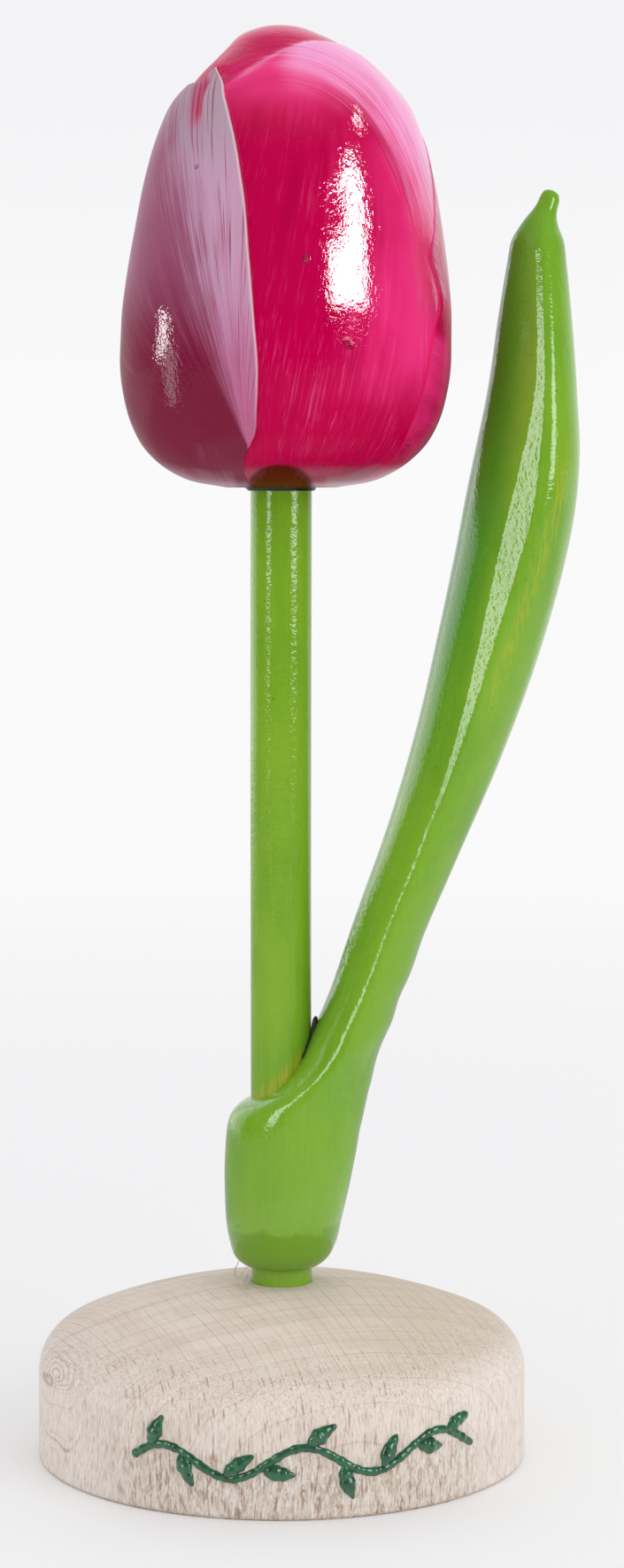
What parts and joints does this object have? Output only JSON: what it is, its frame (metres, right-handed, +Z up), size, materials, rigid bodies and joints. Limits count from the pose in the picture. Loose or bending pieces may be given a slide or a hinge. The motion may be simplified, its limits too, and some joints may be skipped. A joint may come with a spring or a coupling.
{
  "type": "wooden tulip ornament",
  "caption": "Painted wooden tulip that stands upright on a plain turned disc, with a dowel stem and a leaf carved with its own collar.",
  "frame": {"origin": "centre of the underside of the base, on the axis of the stem", "axes": "+Z up along the stem, +X towards the leaf, -Y towards the viewer, who sees the front of the bloom"},
  "size_m": [0.071, 0.0644, 0.187],
  "materials": {
    "base_beech": "bare turned beech, matt, with fine end grain on top and short dark flecks",
    "stem_paint": "wooden dowel in glossy leaf-green paint and clear lacquer",
    "leaf_paint": "carved wood in glossy leaf-green paint and clear lacquer",
    "bloom_paint": "carved wood in brushed crimson with pale pink strokes, under glossy clear lacquer"
  },
  "bodies": {
    "root": {"base": "base_beech", "stem": "stem_paint", "leaf": "leaf_paint", "bloom": "bloom_paint"}
  },
  "joints": []
}
